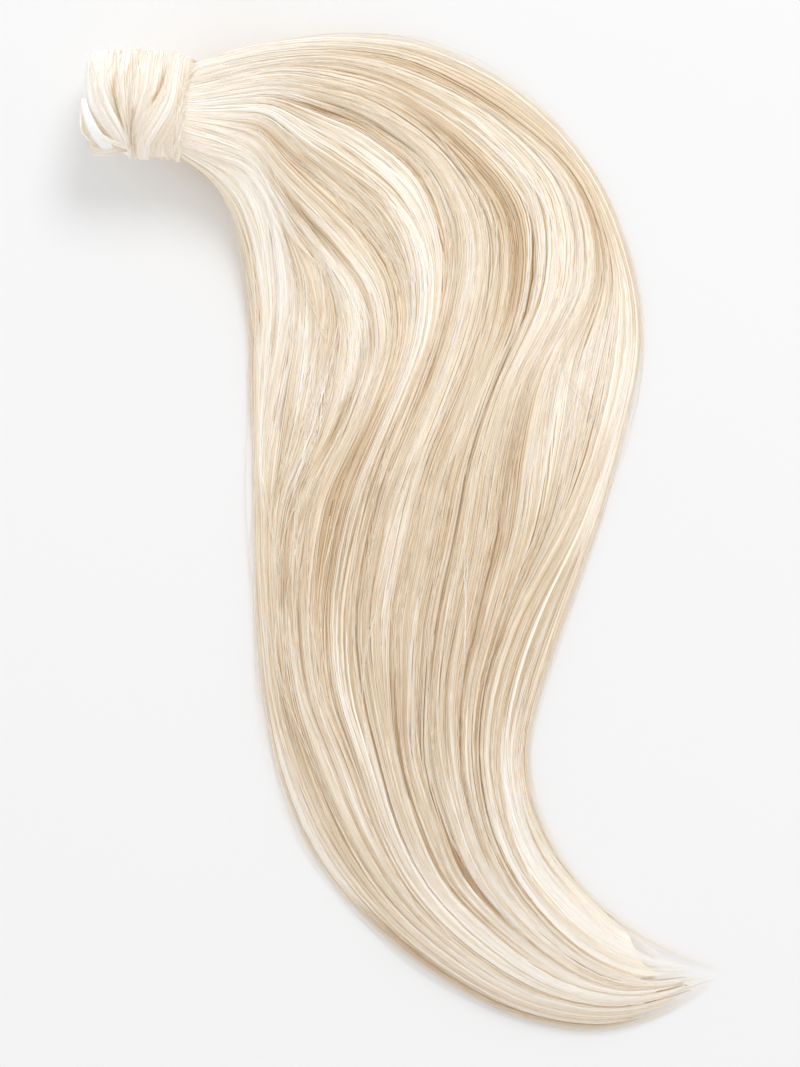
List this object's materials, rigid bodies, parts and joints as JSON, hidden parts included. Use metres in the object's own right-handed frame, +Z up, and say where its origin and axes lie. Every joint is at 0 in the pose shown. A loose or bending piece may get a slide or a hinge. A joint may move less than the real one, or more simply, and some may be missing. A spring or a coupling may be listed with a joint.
{
  "type": "wrap-around ponytail hairpiece",
  "caption": "Long wavy ponytail hairpiece lying flat, with a wound strand of hair round an open band at the head end and a tail that narrows to pointed locks.",
  "frame": {"origin": "centre of the footprint, on the surface that the hairpiece lies on", "axes": "+Y runs from the tip of the tail back to the wound band, +X the way the hair leaves the band, +Z up from the surface"},
  "size_m": [0.2586, 0.404, 0.0436],
  "materials": {
    "blonde_hair": "pale blonde synthetic hair with a soft sheen",
    "white_band": "matte white woven tape"
  },
  "bodies": {
    "root": {"base_band": "white_band", "closure_tab": "white_band", "strand_end": "blonde_hair", "wrap_strand": "blonde_hair", "tail_hair": "blonde_hair"}
  },
  "joints": []
}
